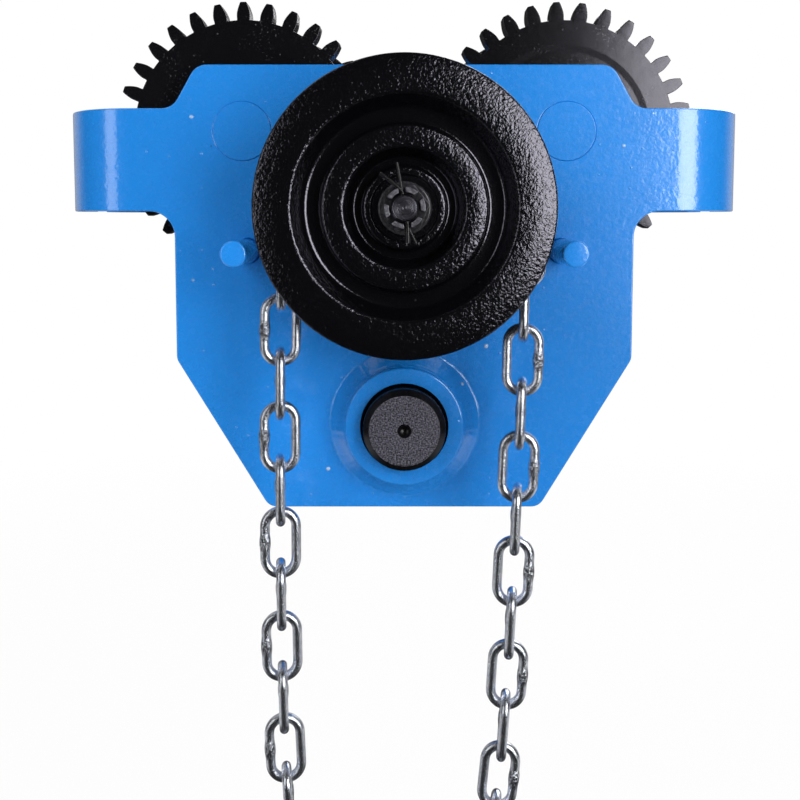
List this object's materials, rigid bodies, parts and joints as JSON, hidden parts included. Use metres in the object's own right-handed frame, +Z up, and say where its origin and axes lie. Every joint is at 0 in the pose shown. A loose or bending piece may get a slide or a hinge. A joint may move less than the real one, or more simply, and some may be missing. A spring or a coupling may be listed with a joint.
{
  "type": "geared beam trolley",
  "caption": "Beam trolley driven by a hand chain wheel: pinion and geared wheels on one side plate, plain wheels on the other, joined by a round load bar.",
  "frame": {"origin": "middle of the trolley on the beam's running surface, where the wheel treads stand", "axes": "+X along the beam, +Y across it from the drive plate to the idler plate, +Z up"},
  "size_m": [0.3438, 0.225, 0.4715],
  "materials": {
    "blue_paint": "gloss enamel over rolled plate, with light orange peel",
    "black_casting": "gloss black paint over a rough casting",
    "zinc_chain": "bright zinc plating",
    "dark_steel": "black oxide over turned steel",
    "bronze": "turned bronze",
    "bearing_steel": "ground steel",
    "spring_steel": "phosphated spring steel",
    "machined_steel": "turned and cut steel"
  },
  "bodies": {
    "drive_frame": {"front_side_plate": "blue_paint", "front_boss": "blue_paint", "chain_guide_rod_left": "blue_paint", "chain_guide_rod_right": "blue_paint", "shaft_housing": "blue_paint", "shaft_bush": "bronze", "front_left_axle": "dark_steel", "front_left_bearing_inner_ring": "bearing_steel", "front_left_bearing_balls": "bearing_steel", "front_left_axle_circlip": "spring_steel", "front_right_axle": "dark_steel", "front_right_bearing_inner_ring": "bearing_steel", "front_right_bearing_balls": "bearing_steel", "front_right_axle_circlip": "spring_steel", "hand_chain_on_wheel": "zinc_chain"},
    "hand_drive": {"pinion_shaft": "machined_steel", "thrust_washer": "bronze", "wheel_key": "machined_steel", "hand_wheel": "black_casting", "nut_washer": "dark_steel", "castle_nut": "dark_steel", "split_pin": "dark_steel"},
    "load_bar_body": {"load_bar": "dark_steel"},
    "idler_frame": {"rear_side_plate": "blue_paint", "rear_boss": "blue_paint", "rear_left_axle": "dark_steel", "rear_left_bearing_inner_ring": "bearing_steel", "rear_left_bearing_balls": "bearing_steel", "rear_left_axle_circlip": "spring_steel", "rear_right_axle": "dark_steel", "rear_right_bearing_inner_ring": "bearing_steel", "rear_right_bearing_balls": "bearing_steel", "rear_right_axle_circlip": "spring_steel"},
    "drive_wheel_left": {"gear_wheel_left": "black_casting", "front_left_bearing_outer_ring": "bearing_steel", "front_left_bore_circlip": "spring_steel"},
    "idler_wheel_left": {"plain_wheel_left": "black_casting", "rear_left_bearing_outer_ring": "bearing_steel", "rear_left_bore_circlip": "spring_steel"},
    "drive_wheel_right": {"gear_wheel_right": "black_casting", "front_right_bearing_outer_ring": "bearing_steel", "front_right_bore_circlip": "spring_steel"},
    "idler_wheel_right": {"plain_wheel_right": "black_casting", "rear_right_bearing_outer_ring": "bearing_steel", "rear_right_bore_circlip": "spring_steel"},
    "chain_loop": {"hand_chain_loop": "zinc_chain"}
  },
  "joints": [
    {"name": "hand_wheel_turn", "type": "hinge", "parent": "drive_frame", "child": "hand_drive", "pos_m": [0, -0.107, 0.00306], "axis": [0, 1, 0], "continuous": true},
    {"name": "drive_wheel_left_turn", "type": "hinge", "parent": "drive_frame", "child": "drive_wheel_left", "pos_m": [-0.0794, -0.03, 0.041], "axis": [0, 1, 0], "continuous": true},
    {"name": "drive_wheel_right_turn", "type": "hinge", "parent": "drive_frame", "child": "drive_wheel_right", "pos_m": [0.0794, -0.03, 0.041], "axis": [0, 1, 0], "continuous": true},
    {"name": "gauge_slide", "type": "slide", "parent": "drive_frame", "child": "idler_frame", "axis": [0, 1, 0], "range_m": [-0.02, 0.016]},
    {"name": "load_bar_slide", "type": "slide", "parent": "drive_frame", "child": "load_bar_body", "axis": [0, 1, 0], "range_m": [-0.01, 0.008]},
    {"name": "idler_wheel_left_turn", "type": "hinge", "parent": "idler_frame", "child": "idler_wheel_left", "pos_m": [-0.0794, 0.03, 0.041], "axis": [0, 1, 0], "continuous": true},
    {"name": "idler_wheel_right_turn", "type": "hinge", "parent": "idler_frame", "child": "idler_wheel_right", "pos_m": [0.0794, 0.03, 0.041], "axis": [0, 1, 0], "continuous": true},
    {"name": "chain_swing", "type": "hinge", "parent": "drive_frame", "child": "chain_loop", "pos_m": [-0.00162, -0.107, -0.0744], "axis": [0.9922, 0, -0.1243], "range_deg": [-40, 15]}
  ],
  "couplings": [
    {"joint": "drive_wheel_left_turn", "follows": "hand_wheel_turn", "ratio": -0.41935},
    {"joint": "drive_wheel_right_turn", "follows": "hand_wheel_turn", "ratio": -0.41935},
    {"joint": "load_bar_slide", "follows": "gauge_slide", "ratio": 0.5}
  ]
}
